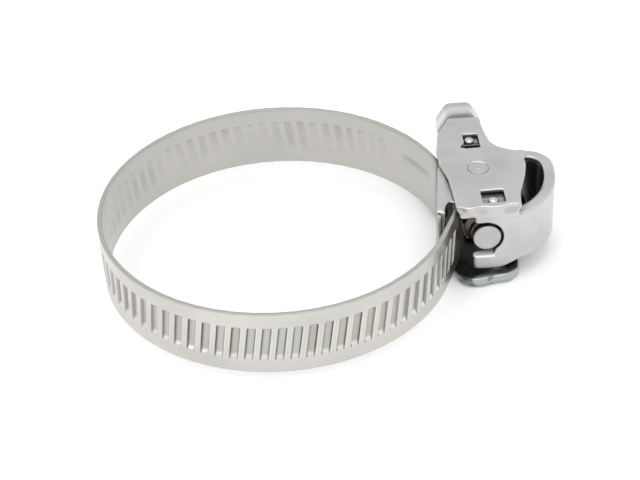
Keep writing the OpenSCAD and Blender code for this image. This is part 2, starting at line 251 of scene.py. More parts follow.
# Loop round the strip's cross-section: (height, distance outward from the middle, depth share, face)
OUTSIDE, RIM, INSIDE = 0, 1, 2
section = [(z, half_t, share, OUTSIDE) for z, share in zip(plain_rows, row_share)]
edge_z = band_half - 0.05
rim_steps = ((edge_z, half_t - 0.03), (band_half, half_t - 0.13), (band_half, 0.0),
             (band_half, 0.13 - half_t), (edge_z, 0.03 - half_t))
section += [(z, n, 0.0, RIM) for z, n in rim_steps]
section += [(z, -half_t, share, INSIDE) for z, share in zip(plain_rows[::-1], row_share[::-1])]
section += [(-z, n, 0.0, RIM) for z, n in rim_steps[::-1]]
section_z = np.array([row[0] for row in section])
section_n = np.array([row[1] for row in section])
section_share = np.array([row[2] for row in section])
section_face = np.array([row[3] for row in section])

pocket_vary = np.array([rand.uniform(0.9, 1.05) for _ in pocket_at])
pocket_tint = np.array([rand.random() for _ in pocket_at])
grid_s = columns[:, None] + lean_share[:, None] * section_z[None, :] * pocket_lean
grid_s = np.clip(grid_s, 0, band_length)
sunk = np.maximum(column_depth, -0.05)[:, None] * section_share[None, :]
sunk = sunk * pocket_vary[column_pocket][:, None]
outside = section_face[None, :] == OUTSIDE
inside = section_face[None, :] == INSIDE
# The inside shows each pocket as a faint flat patch, and one long shallow bead near the housing
witness = 0.055 * np.clip(sunk, 0, 1)
bead_along = np.clip((grid_s - ring_start_s - 1.6) / 9.5, 0, 1)
bead_middle = 1.7 - 0.1 * bead_along
bead = np.exp(-((section_z[None, :] - bead_middle) / 0.75) ** 2) * np.sin(np.pi * bead_along) ** 0.5
waves = 0.03 * np.sin(grid_s * 0.21 + 1.3) * np.sin(section_z[None, :] * 0.5 + grid_s * 0.05)
lift = np.where(outside, -pocket_depth * sunk, 0.0) - np.where(inside, witness + 0.16 * bead, 0.0)
grid_n = section_n[None, :] + lift + waves * (section_face[None, :] != RIM)
rim_noise = 0.018 * np.sin(grid_s * 1.9) + 0.012 * np.sin(grid_s * 4.7 + 0.6) - 0.02
near_edge = np.abs(section_z)[None, :] > band_half - 0.2
grid_z = section_z[None, :] + np.sign(section_z)[None, :] * rim_noise * near_edge
place, out = on_band(grid_s)
points = np.empty(grid_s.shape + (3,))
points[..., :2] = (place + out * grid_n[..., None]) * MM
points[..., 2] = grid_z * MM
column_count, row_count = grid_s.shape
number = np.arange(column_count * row_count).reshape(column_count, row_count)
after = np.roll(number, -1, axis=1)
quads = np.stack((number[:-1], number[1:], after[1:], after[:-1]), -1).reshape(-1, 4)
caps = [tuple(number[0].tolist()), tuple(number[-1][::-1].tolist())]
band_mesh = bpy.data.meshes.new("pocketed_band")
band_mesh.from_pydata(points.reshape(-1, 3).tolist(), [], quads.tolist() + caps)
band_mesh.validate()


def paint(mesh, name, values):
    """Keeps one number a vertex, for the material to read."""
    layer = mesh.attributes.new(name, "FLOAT", "POINT")
    layer.data.foreach_set("value", np.asarray(values, np.float32).ravel())


# Outline, seen from above, of the space inside the housing, where every surface is painted near black as
# shade
shaded_interior_outline = ((29.0, -3.2), (31.4, -4.4), (33.0, -4.9), (33.6, -7.5), (37.9, -7.5), (42.9, -6.2),
                 (45.0, -4.5), (46.7, -2.4), (47.7, 0.0), (47.9, 3.6), (47.5, 5.1), (46.2, 6.4),
                 (44.6, 6.9), (40.0, 8.5), (39.0, 11.0), (39.0, 19.1), (29.0, 19.1))
shaded_interior_low, shaded_interior_high = -6.35, 6.6
shaded_interior_fade = 0.35


def outline(points, x, y):
    """Distance to a closed outline, less than nothing inside it."""
    near = np.full(np.broadcast_shapes(x.shape, y.shape), 1e9, np.float32)
    within = np.zeros(near.shape, bool)
    for (ax, ay), (bx, by) in zip(points, points[1:] + points[:1]):
        ex, ey = bx - ax, by - ay
        share = np.clip(((x - ax) * ex + (y - ay) * ey) / (ex * ex + ey * ey), 0, 1)
        near = np.minimum(near, (x - ax - ex * share) ** 2 + (y - ay - ey * share) ** 2)
        if ey:
            within ^= ((ay > y) != (by > y)) & (x < ex * (y - ay) / ey + ax)
    return np.where(within, -1, 1) * np.sqrt(near)


def millimetres(mesh):
    """Coordinates of a mesh's points, one row for each axis."""
    spots = np.empty(len(mesh.vertices) * 3, np.float32)
    mesh.vertices.foreach_get("co", spots)
    return (spots.reshape(-1, 3) / MM).T


def paint_interior_shade(mesh, full=1.0):
    """Paints how far inside the housing each point of a mesh lies, as its share of painted interior
    shade.
    """
    px, py, pz = millimetres(mesh)
    depth = np.minimum(-outline(shaded_interior_outline, px, py), np.minimum(shaded_interior_high - pz, pz - shaded_interior_low))
    paint(mesh, "interior_shade_share", np.clip(depth / shaded_interior_fade, 0, 1) * full)


paint_interior_shade(band_mesh)
# The pockets' painted marks grow fainter towards the left, and each pocket has a painted highlight at its
# lower end
fade = np.clip((grid_s - fade_from) / (fade_to - fade_from), 0, 1) * 0.75 + 0.25
glint_up = np.exp(-((section_z + 2.95) / 0.22) ** 2) * outside[0]
glint_across = np.where(column_depth > 0.98, 1.0, 0.0)
paint(band_mesh, "pocket_glint", glint_across[:, None] * glint_up[None, :] * fade)
# Lower flank of the inside bead, for painted shade
paint(band_mesh, "bead", bead * inside * (section_z[None, :] < bead_middle + 0.2))
# Marks the inside face, which the material paints darker as shade
paint(band_mesh, "inner", np.broadcast_to(inside, grid_s.shape))
paint(band_mesh, "witness", np.clip(sunk, 0, 1) * inside)
edge_share = np.where(section_share > 0.02, 1.0, 0.0)
paint(band_mesh, "pocket_wall_light", column_wall_light[:, None] * edge_share[None, :] * outside * fade)
paint(band_mesh, "sunk", np.clip(sunk, 0, 1) * outside * fade)
paint(band_mesh, "tint", np.broadcast_to(pocket_tint[column_pocket][:, None], grid_s.shape))
paint(band_mesh, "rim", np.broadcast_to((section_face == RIM)[None, :], grid_s.shape))
paint(band_mesh, "along", grid_s)
paint(band_mesh, "across", np.broadcast_to(section_z[None, :], grid_s.shape))


def group(name, inputs, outputs):
    """Empty shader node group with named sockets; returns the tree and its two end nodes."""
    tree = bpy.data.node_groups.new(name, "ShaderNodeTree")
    for socket, kind, value in inputs:
        made = tree.interface.new_socket(socket, in_out="INPUT", socket_type=kind)
        if value is not None:
            made.default_value = value
    for socket, kind in outputs:
        tree.interface.new_socket(socket, in_out="OUTPUT", socket_type=kind)
    return tree, tree.nodes.new("NodeGroupInput"), tree.nodes.new("NodeGroupOutput")


def arith(tree, kind, first, second=None, third=None):
    """Math node on numbers or sockets; returns its output."""
    node = tree.nodes.new("ShaderNodeMath")
    node.operation = kind
    for slot, value in enumerate((first, second, third)):
        if value is None:
            continue
        if isinstance(value, (int, float)):
            node.inputs[slot].default_value = value
        else:
            tree.links.new(value, node.inputs[slot])
    return node.outputs[0]


def noise(tree, vector, scale, detail=3.0, rough=0.55):
    node = tree.nodes.new("ShaderNodeTexNoise")
    tree.links.new(vector, node.inputs["Vector"])
    node.inputs["Scale"].default_value = scale
    node.inputs["Detail"].default_value = detail
    node.inputs["Roughness"].default_value = rough
    return node.outputs["Fac"]


def stretch(tree, vector, scale):
    node = tree.nodes.new("ShaderNodeVectorMath")
    node.operation = "MULTIPLY"
    tree.links.new(vector, node.inputs[0])
    node.inputs[1].default_value = scale
    return node.outputs[0]


def mixed(tree, share, first, second, kind="MIX"):
    """Colour mix; first and second are colours or sockets."""
    node = tree.nodes.new("ShaderNodeMix")
    node.data_type = "RGBA"
    node.blend_type = kind
    colour_inputs = [s for s in node.inputs if s.type == "RGBA"]
    if isinstance(share, (int, float)):
        node.inputs[0].default_value = share
    else:
        tree.links.new(share, node.inputs[0])
    for socket, value in zip(colour_inputs, (first, second)):
        if isinstance(value, tuple):
            socket.default_value = value + (1,)
        else:
            tree.links.new(value, socket)
    return [s for s in node.outputs if s.type == "RGBA"][0]


def clamped(tree, value):
    """Keeps a number between nothing and one."""
    return arith(tree, "MINIMUM", arith(tree, "MAXIMUM", value, 0.0), 1.0)


def laid(tree, base, mask, share, tone):
    """Lays a tone over a base where a mask says, at a share of its full strength."""
    return mixed(tree, arith(tree, "MULTIPLY", mask, share), base, tone)


FLOAT, VECTOR = "NodeSocketFloat", "NodeSocketVector"

# Shared finish: the faint cloudiness, orange peel and fine scratches of tumbled stainless sheet
tumbled, tumbled_in, tumbled_out = group(
    "tumbled_sheet",
    (("Place", VECTOR, None), ("Grain", FLOAT, 1.0)),
    (("Cloud", FLOAT), ("Height", FLOAT)))
tumbled_place = tumbled_in.outputs["Place"]
cloud = noise(tumbled, tumbled_place, 0.22, 3.0)
peel = noise(tumbled, tumbled_place, 1.1, 2.0)
speck = noise(tumbled, tumbled_place, 6.0, 2.0)
scratch = noise(tumbled, stretch(tumbled, tumbled_place, (9.0, 1.2, 1.2)), 1.0, 2.0)
speck_height = arith(tumbled, "MULTIPLY", speck, 0.10)
speck_height = arith(tumbled, "MULTIPLY", speck_height, tumbled_in.outputs["Grain"])
scratch_height = arith(tumbled, "MULTIPLY", scratch, 0.12)
all_height = arith(tumbled, "ADD", arith(tumbled, "ADD", peel, speck_height), scratch_height)
tumbled.links.new(cloud, tumbled_out.inputs["Cloud"])
tumbled.links.new(all_height, tumbled_out.inputs["Height"])

# Shared painted highlight: edges painted bright, read from how sharply the surface turns
edge_highlight, edge_highlight_in, edge_highlight_out = group(
    "painted_edge_highlights",
    (("Place", VECTOR, None), ("From", FLOAT, 0.51), ("To", FLOAT, 0.56)),
    (("Mask", FLOAT),))
turning = edge_highlight.nodes.new("ShaderNodeNewGeometry").outputs["Pointiness"]
edge_span = arith(edge_highlight, "SUBTRACT", edge_highlight_in.outputs["To"], edge_highlight_in.outputs["From"])
edge_past = arith(edge_highlight, "SUBTRACT", turning, edge_highlight_in.outputs["From"])
edge_share = arith(edge_highlight, "DIVIDE", edge_past, edge_span)
edge_break = arith(edge_highlight, "ADD", noise(edge_highlight, edge_highlight_in.outputs["Place"], 0.9, 2.0), 0.35)
edge_mask = arith(edge_highlight, "MULTIPLY", clamped(edge_highlight, edge_share), edge_break)
edge_highlight.links.new(edge_mask, edge_highlight_out.inputs["Mask"])

# Shared painted shade: dark colour in narrow gaps and recesses, read from how closed in a spot is
occlusion_shade, occlusion_shade_in, occlusion_shade_out = group(
    "painted_occlusion_shade",
    (("Place", VECTOR, None), ("Depth", FLOAT, 1.0), ("Reach", FLOAT, 0.005)),
    (("Mask", FLOAT),))
closed = occlusion_shade.nodes.new("ShaderNodeAmbientOcclusion")
closed.samples = 6
occlusion_shade.links.new(occlusion_shade_in.outputs["Reach"], closed.inputs["Distance"])
shut = arith(occlusion_shade, "SUBTRACT", 1.0, closed.outputs["AO"])
shut = arith(occlusion_shade, "POWER", arith(occlusion_shade, "MAXIMUM", shut, 0.0), occlusion_shade_in.outputs["Depth"])
blotch = arith(occlusion_shade, "MULTIPLY", noise(occlusion_shade, occlusion_shade_in.outputs["Place"], 0.7), 0.4)
gap_shade_mask = arith(occlusion_shade, "MULTIPLY", shut, arith(occlusion_shade, "ADD", blotch, 0.8))
occlusion_shade.links.new(arith(occlusion_shade, "MINIMUM", gap_shade_mask, 1.0), occlusion_shade_out.inputs["Mask"])


def placed_group(tree, made, place, **values):
    node = tree.nodes.new("ShaderNodeGroup")
    node.node_tree = made
    tree.links.new(place, node.inputs["Place"])
    for socket, value in values.items():
        node.inputs[socket].default_value = value
    return node


def metal(name, rough):
    """Material with a metal shader; returns it with its tree, shader and a place in millimetres."""
    made = bpy.data.materials.new(name)
    made.use_nodes = True
    tree = made.node_tree
    shader = tree.nodes["Principled BSDF"]
    shader.inputs["Metallic"].default_value = 1.0
    shader.inputs["Roughness"].default_value = rough
    where = tree.nodes.new("ShaderNodeTexCoord").outputs["Object"]
    return made, tree, shader, stretch(tree, where, (1000, 1000, 1000))


def read(tree, name):
    node = tree.nodes.new("ShaderNodeAttribute")
    node.attribute_name = name
    return node.outputs["Fac"]


def roughened(tree, shader, mask, spread, least):
    """Links how rough a metal is: a least value, and more where a mask is bright."""
    rough = arith(tree, "ADD", arith(tree, "MULTIPLY", mask, spread), least)
    tree.links.new(rough, shader.inputs["Roughness"])


def bumped(tree, shader, height, strength, distance):
    node = tree.nodes.new("ShaderNodeBump")
    node.inputs["Strength"].default_value = strength
    node.inputs["Distance"].default_value = distance * MM
    tree.links.new(height, node.inputs["Height"])
    tree.links.new(node.outputs["Normal"], shader.inputs["Normal"])


def strip_place(tree, along_scale, across_scale):
    """Place on the strip, stretched along it and across it."""
    node = tree.nodes.new("ShaderNodeCombineXYZ")
    tree.links.new(arith(tree, "MULTIPLY", read(tree, "along"), along_scale), node.inputs[0])
    tree.links.new(arith(tree, "MULTIPLY", read(tree, "across"), across_scale), node.inputs[1])
    return node.outputs[0]


# Near-black colour painted over every surface inside the housing, as shade
INTERIOR_SHADE = (0.20, 0.184, 0.170)
band_steel, tree, shader, place_mm = metal("rolled_band_steel", 0.3)
rolling = noise(tree, strip_place(tree, 0.05, 3.0), 1.0, 4.0, 0.6)
pocket_reflection_streak = noise(tree, strip_place(tree, 4.5, 0.35), 1.0, 3.0, 0.6)
finish = placed_group(tree, tumbled, place_mm, Grain=0.6)
gap_shade = placed_group(tree, occlusion_shade, place_mm, Depth=2.0, Reach=0.002)
tint_ramp = tree.nodes.new("ShaderNodeValToRGB")
tint_ramp.color_ramp.interpolation = "CONSTANT"
while len(tint_ramp.color_ramp.elements) < len(pocket_reflection_tones):
    tint_ramp.color_ramp.elements.new(0.5)
for k, tone in enumerate(pocket_reflection_tones):
    tint_ramp.color_ramp.elements[k].position = k / len(pocket_reflection_tones)
    tint_ramp.color_ramp.elements[k].color = tone + (1,)
tree.links.new(read(tree, "tint"), tint_ramp.inputs["Fac"])
broad = noise(tree, stretch(tree, place_mm, (0.06, 0.06, 0.12)), 1.0, 3.0)
broad = clamped(tree, arith(tree, "MULTIPLY_ADD", broad, 3.2, -1.1))
base = laid(tree, band_steel_tone, broad, 0.7, (0.52, 0.515, 0.50))
base = laid(tree, base, rolling, 0.12, (0.45, 0.45, 0.43))
# Pocket floors painted darker with tinted streaks, as painted shade and reflection in the recesses
pocket_floor_reflection = laid(tree, tint_ramp.outputs["Color"], pocket_reflection_streak, 0.6, (0.60, 0.58, 0.53))
base = laid(tree, base, read(tree, "sunk"), 0.85, pocket_floor_reflection)
# Pocket walls painted dark as shade and pocket edges painted bright as highlight
pocket_wall_shade = arith(tree, "MAXIMUM", read(tree, "pocket_wall_light"), 0.0)
base = laid(tree, base, pocket_wall_shade, 0.72, (0.16, 0.155, 0.13))
# Painted highlight at each pocket's lower end
base = laid(tree, base, read(tree, "pocket_glint"), 0.9, (0.97, 0.97, 0.95))
pocket_edge_highlight = arith(tree, "MAXIMUM", arith(tree, "MULTIPLY", read(tree, "pocket_wall_light"), -1.0), 0.0)
base = laid(tree, base, pocket_edge_highlight, 0.5, (0.86, 0.85, 0.82))
# Inside face of the band painted darker, as shade
base = laid(tree, base, read(tree, "inner"), 0.55, (0.46, 0.45, 0.43))
# Witness marks inside painted dark and light, as shade and highlight on the faint bulges
patch_place = stretch(tree, place_mm, (0.045, 0.045, 0.09))
patchy = clamped(tree, arith(tree, "MULTIPLY_ADD", noise(tree, patch_place, 1.0, 2.0), 3.0, -1.0))
witness_painted_shade = arith(tree, "MULTIPLY", read(tree, "witness"), 0.42)
base = mixed(tree, arith(tree, "MULTIPLY", witness_painted_shade, patchy), base, (0.27, 0.25, 0.235))
witness_painted_highlight = arith(tree, "MULTIPLY", witness_painted_shade, arith(tree, "SUBTRACT", 1.0, patchy))
base = laid(tree, base, witness_painted_highlight, 0.8, (0.64, 0.63, 0.60))
# Painted shade on the bead's lower flank
base = laid(tree, base, read(tree, "bead"), 0.6, (0.25, 0.24, 0.225))
base = laid(tree, base, read(tree, "rim"), 0.9, rim_tone)
# Painted shade in the pockets and gaps
base = laid(tree, base, gap_shade.outputs["Mask"], 0.8, (0.10, 0.095, 0.08))
# Painted shade where the band runs inside the housing
base = laid(tree, base, read(tree, "interior_shade_share"), 0.96, INTERIOR_SHADE)
tree.links.new(base, shader.inputs["Base Color"])
band_rough = arith(tree, "ADD", arith(tree, "MULTIPLY", rolling, 0.12), 0.24)
band_rough = arith(tree, "ADD", band_rough, arith(tree, "MULTIPLY", read(tree, "rim"), 0.2))
tree.links.new(band_rough, shader.inputs["Roughness"])
band_height = arith(tree, "ADD", finish.outputs["Height"], arith(tree, "MULTIPLY", rolling, 0.3))
bumped(tree, shader, band_height, 0.25, 0.05)


def shown(name, mesh, material, body, slot, *nodes):
    """Puts a finished mesh in the scene as the piece that stands for its CAD nodes."""
    piece = bpy.data.objects.new(name, mesh)
    bpy.context.scene.collection.objects.link(piece)
    mesh.materials.append(material)
    mesh.polygons.foreach_set("use_smooth", [True] * len(mesh.polygons))
    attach(piece, body)
    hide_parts(*nodes)
    return piece


shown("pocketed_band", band_mesh, band_steel, "band_and_bracket", "band_steel", "band")

# Bracket: one sheet folded round the band's flat seat, with a cheek over the band's upper edge, a thicker
# one under its lower edge whose front is turned down and wavy, and a stop for the return spring.
axis_x = 36.0
upper_cheek = ((-6.2, -4.6), (-3.4, -6.95), (2.6, -6.95), (5.2, -5.2), (5.2, 8), (2.2, 15.2),
               (-3.6, 15.2), (-6.4, 9))
lower_cheek = ((-6.2, -5.6), (-4.3, -10.2), (-2.1, -10.9), (1.1, -10.2), (4, -9.9), (5.9, -8.2),
               (6.4, -3.8), (7.5, -2.4), (7.5, 4), (5.2, 8), (2.2, 15.2), (-3.6, 15.2), (-6.4, 9))
fold_strip = ((28.0, -3.8), (28.4, -3.8), (31.0, 0.6), (33.5, 0.6), (33.5, 9.95), (28.0, 9.95))
cheek_hole = ((34.6, 9.8), (37.6, 9.8), (37.6, 12.1), (34.6, 12.1))
upper_z = (6.1, 6.8)
lower_z = (-7.3, -6.1)
turned_down_z = (-7.8, -6.6)
turned_down_from = -8.6
wall_z = (-6.6, 6.6)
wall_strip = ((28.8, -3.8), (29.5, -3.8), (29.5, 9.95), (28.8, 9.95))
stop_tab = ((39.8, 1.0), (43.0, 1.0), (43.0, 1.7), (39.8, 1.7))
stop_z = (-6.6, 4.5)
bracket_low, bracket_high = (25.8, -12.2, -8.4), (44.6, 16.6, 7.4)
sheet_step = 0.15


def space(low, high, step):
    """Coordinates of a block of space, as a column, a row and a stack that combine."""
    x, y, z = (np.arange(a, b + step, step, dtype=np.float32) for a, b in zip(low, high))
    return x[:, None, None], y[None, :, None], z[None, None, :]


def softened(field, reach):
    """Rounds the corners of a flat outline's field by averaging it over a small reach."""
    for axis in (0, 1):
        total = np.zeros_like(field)
        for shift in range(-reach, reach + 1):
            source = np.clip(np.arange(field.shape[axis]) + shift, 0, field.shape[axis] - 1)
            total += np.take(field, source, axis=axis)
        field = total / (2 * reach + 1)
    return field


def both(first, second, edge):
    """Common part of two solids, with its edge rounded."""
    a, b = first + edge, second + edge
    return np.minimum(np.maximum(a, b), 0) + np.hypot(np.maximum(a, 0), np.maximum(b, 0)) - edge


def joined(first, second, blend):
    share = np.maximum(blend - np.abs(first - second), 0) / blend
    return np.minimum(first, second) - share * share * blend / 4


def without(first, second, blend):
    return -joined(-first, second, blend)


def between(z, low, high):
    return np.maximum(low - z, z - high)


def skin(name, field, low, step):
    """Closed mesh where the field is nothing, with one vertex in each cell that the surface crosses."""
    solid = field < 0
    nx, ny, nz = (n - 1 for n in field.shape)
    corners = [(i, j, k) for i in (0, 1) for j in (0, 1) for k in (0, 1)]
    filled = sum(solid[i:nx + i, j:ny + j, k:nz + k].astype(np.int8) for i, j, k in corners)
    active = (filled > 0) & (filled < 8)
    cell = np.argwhere(active)
    index = np.full(active.shape, -1, np.int64)
    index[active] = np.arange(len(cell))
    total = np.zeros((len(cell), 3))
    hits = np.zeros(len(cell))
    for a in corners:
        for axis in range(3):
            if a[axis]:
                continue
            b = tuple(1 if n == axis else a[n] for n in range(3))
            fa = field[cell[:, 0] + a[0], cell[:, 1] + a[1], cell[:, 2] + a[2]]
            fb = field[cell[:, 0] + b[0], cell[:, 1] + b[1], cell[:, 2] + b[2]]
            crossed = (fa < 0) != (fb < 0)
            share = fa[crossed] / (fa[crossed] - fb[crossed])
            spot = np.tile(np.array(a, float), (crossed.sum(), 1))
            spot[:, axis] += share
            total[crossed] += spot
            hits[crossed] += 1
    verts = (total / hits[:, None] + cell) * step + np.array(low)
    faces = []
    for axis in range(3):
        other, third = (axis + 1) % 3, (axis + 2) % 3
        lower = np.moveaxis(solid, (axis, other, third), (0, 1, 2))
        cells = np.moveaxis(index, (axis, other, third), (0, 1, 2))
        first, second = lower[:-1, 1:-1, 1:-1], lower[1:, 1:-1, 1:-1]
        around = (cells[:, :-1, :-1], cells[:, 1:, :-1], cells[:, 1:, 1:], cells[:, :-1, 1:])
        around = np.stack(around, -1)
        faces.append(around[first & ~second])
        faces.append(around[~first & second][:, ::-1])
    mesh = bpy.data.meshes.new(name)
    mesh.from_pydata((verts * MM).tolist(), [], np.concatenate(faces).tolist())
    return mesh


def seat_frame(x, y):
    return x * cos_t + y * sin_t, y * cos_t - x * sin_t


x, y, z = space(bracket_low, bracket_high, sheet_step)
seat_u, seat_v = seat_frame(x, y)


def beside_axis(edge):
    """Outline that was drawn from the screw's axis, moved to its place."""
    return tuple((axis_x + a, b) for a, b in edge)


def cheek_outline(edge, reach):
    whole = np.minimum(outline(beside_axis(edge), x, y), outline(fold_strip, seat_u, seat_v))
    return softened(whole, reach)


sheet_wave = 0.05 * np.sin(x * 0.55 + 0.4) * np.sin(y * 0.42 + 1.0)
upper = both(cheek_outline(upper_cheek, 2), between(z, *upper_z), 0.25)
upper = without(upper, softened(outline(cheek_hole, x, y), 1), 0.2)
floor_wave = 0.10 * np.sin(x * 1.15 + 2.2) + 0.05 * np.sin(x * 2.3 + y * 0.6)
lower = both(cheek_outline(lower_cheek, 9), between(z - floor_wave * (z < -6.6), *lower_z), 0.4)
lip = both(cheek_outline(lower_cheek, 9), between(z - floor_wave, *turned_down_z), 0.45)
lip = np.maximum(lip, y - turned_down_from)
lower = joined(lower, lip, 0.7)
wall = both(outline(wall_strip, seat_u, seat_v), between(z, *wall_z), 0.25)
stop = both(outline(stop_tab, x, y), between(z, *stop_z), 0.25)
whole = joined(joined(upper + sheet_wave * 0.4, wall, 0.7), joined(lower, stop, 0.7), 0.7)
bracket_mesh = skin("folded_bracket", whole, bracket_low, sheet_step)
paint_interior_shade(bracket_mesh)
# The lower cheek's front is left lit, and behind it lies a painted shadow of the front wall; painted
# shade lies in the windows' floors too
lit_front = ((30, -13), (31.3, -10.7), (32.8, -11.2), (34.5, -9.8), (38.6, -7.4), (39.9, -8.3), (42.6, -4.9),
         (45, -5), (45, -13))
shaded_window_floors = (((34.0, 10.0), (37.7, 10.0), (37.7, 13.0), (34.0, 13.0), 0.97),
                ((35.0, -4.9), (39.6, -4.9), (39.6, -3.0), (35.0, -3.0), 0.8),
                ((35.0, -7.4), (39.6, -7.4), (39.6, -4.9), (35.0, -4.9), 0.35))
bx, by, bz = millimetres(bracket_mesh)
to_lit_front = outline(lit_front, bx, by)
low_cheek = bz < -5.9
paint(bracket_mesh, "lit_front", np.clip(-to_lit_front / 0.3, 0, 1) * low_cheek)
painted_shadow = np.clip(to_lit_front / 0.5, 0, 1) * low_cheek * (bz > -6.5) * (bx > 29.5)
for spot in shaded_window_floors:
    painted_shadow = np.maximum(painted_shadow, np.clip(-outline(spot[:4], bx, by) / 0.3, 0, 1) * (bz > 6.4) * spot[4])
paint(bracket_mesh, "painted_shadow", painted_shadow)

bracket_steel, tree, shader, place_mm = metal("pressed_bracket_steel", 0.34)
finish = placed_group(tree, tumbled, place_mm, Grain=1.2)
edge_highlight_node = placed_group(tree, edge_highlight, place_mm, From=0.51, To=0.56)
gap_shade = placed_group(tree, occlusion_shade, place_mm, Depth=1.3)
height_split = tree.nodes.new("ShaderNodeSeparateXYZ")
tree.links.new(place_mm, height_split.inputs[0])
low_down = arith(tree, "LESS_THAN", height_split.outputs["Z"], -4.0)
base = mixed(tree, finish.outputs["Cloud"], (0.64, 0.635, 0.625), (0.52, 0.515, 0.51))
# Points below z -4 painted darker and bluish, as shade on the lower cheek
base = laid(tree, base, low_down, 0.75, (0.40, 0.425, 0.44))
stain = arith(tree, "GREATER_THAN", noise(tree, place_mm, 0.45, 3.0), 0.60)
stain = arith(tree, "MULTIPLY", low_down, stain)
base = laid(tree, base, stain, 0.7, (0.12, 0.15, 0.15))
# Painted highlight on sharp edges
base = laid(tree, base, edge_highlight_node.outputs["Mask"], 0.6, (0.78, 0.78, 0.78))
# Painted shade in gaps, held back on the lower cheek's lit front
gap_shade_kept = arith(tree, "SUBTRACT", 1.0, arith(tree, "MULTIPLY", read(tree, "lit_front"), 0.9))
gap_shaded = arith(tree, "MULTIPLY", arith(tree, "MULTIPLY", gap_shade.outputs["Mask"], 0.95), gap_shade_kept)
base = mixed(tree, gap_shaded, base, (0.03, 0.03, 0.028))
# Painted shadow behind the lower cheek's lit front and painted shade in the windows' floors
base = laid(tree, base, read(tree, "painted_shadow"), 0.9, (0.07, 0.075, 0.072))
# Painted shade inside the housing
base = laid(tree, base, read(tree, "interior_shade_share"), 0.96, INTERIOR_SHADE)
tree.links.new(base, shader.inputs["Base Color"])
roughened(tree, shader, finish.outputs["Cloud"], 0.16, 0.26)
bumped(tree, shader, finish.outputs["Height"], 0.35, 0.08)
shown("folded_bracket", bracket_mesh, bracket_steel, "band_and_bracket", "pressed_steel", "bracket")

# Band rivets: two small rivets through the band's flat end and the bracket's wall, with low domed heads
# on the side where the screw is.
rivet_r = 1.0
rivet_head_r = 1.5
rivet_head_t = 0.5
rivet_back, rivet_grip = 28.0, 1.5
rivet_spots = (-0.38, 6.52)
turn_sides = 40


def turned(profile, sides=turn_sides, dent=0.0):
    """Closed mesh data turned about Z from (radius, height) points that run from axis to axis."""
    verts = [(0.0, 0.0, profile[0][1])]
    for radius, height in profile[1:-1]:
        for k in range(sides):
            a = 2 * math.pi * k / sides
            push = 1 - dent * math.sin(3 * a + height * 4)
            verts.append((radius * push * math.cos(a), radius * push * math.sin(a), height))
    verts.append((0.0, 0.0, profile[-1][1]))
    top = len(verts) - 1
    faces = []
    for k in range(sides):
        n = (k + 1) % sides
        faces.append((0, 1 + n, 1 + k))
        for ring in range(len(profile) - 3):
            a, b = 1 + ring * sides, 1 + (ring + 1) * sides
            faces.append((a + k, a + n, b + n, b + k))
        last = 1 + (len(profile) - 3) * sides
        faces.append((last + k, last + n, top))
    return verts, faces


def gather(name, lumps):
    """One mesh from several turned lumps, each with the matrix that puts it in place (millimetres)."""
    verts, faces = [], []
    for (lump_verts, lump_faces), matrix in lumps:
        first = len(verts)
        verts += [(matrix @ Vector(v)) * MM for v in lump_verts]
        faces += [tuple(i + first for i in face) for face in lump_faces]
    mesh = bpy.data.meshes.new(name)
    mesh.from_pydata(verts, [], faces)
    return mesh


def dome(radius, low, high, crown, edge=0.12):
    """Points of a low dome on a short straight side, from its rim to its top."""
    points = [(radius - edge, low), (radius, low + edge), (radius, high - crown)]
    for k in range(1, 7):
        a = math.pi / 2 * k / 7
        points.append((radius * math.cos(a), high - crown + crown * math.sin(a)))
    return points


rivet_top = rivet_grip + rivet_head_t
rivet_profile = [(0, 0), (rivet_r, 0.0), (rivet_r, rivet_grip)]
rivet_profile += dome(rivet_head_r, rivet_grip, rivet_top, 0.3) + [(0, rivet_top)]
sideways = Matrix.Rotation(seat_turn, 4, "Z") @ Matrix.Rotation(math.pi / 2, 4, "Y")
rivet_lumps = []
for rivet_v in rivet_spots:
    rivet_x, rivet_y = seat_point(rivet_back, rivet_v)
    rivet_place = Matrix.Translation((rivet_x, rivet_y, 0)) @ sideways
    rivet_lumps.append((turned(rivet_profile, dent=0.02), rivet_place))
rivet_mesh = gather("band_rivet_pair", rivet_lumps)
paint_interior_shade(rivet_mesh, 0.85)
rivet_steel, tree, shader, place_mm = metal("rivet_steel", 0.3)
finish = placed_group(tree, tumbled, place_mm, Grain=1.5)
gap_shade = placed_group(tree, occlusion_shade, place_mm, Depth=1.5)
base = mixed(tree, finish.outputs["Cloud"], (0.62, 0.61, 0.59), (0.48, 0.48, 0.47))
# Painted shade in the gaps round the rivets
base = laid(tree, base, gap_shade.outputs["Mask"], 0.8, (0.06, 0.06, 0.055))
# Painted shade inside the housing
base = laid(tree, base, read(tree, "interior_shade_share"), 0.96, INTERIOR_SHADE)
tree.links.new(base, shader.inputs["Base Color"])
bumped(tree, shader, finish.outputs["Height"], 0.4, 0.06)
shown("band_rivet_pair", rivet_mesh, rivet_steel, "band_and_bracket", "rivet_steel", "band_rivets")

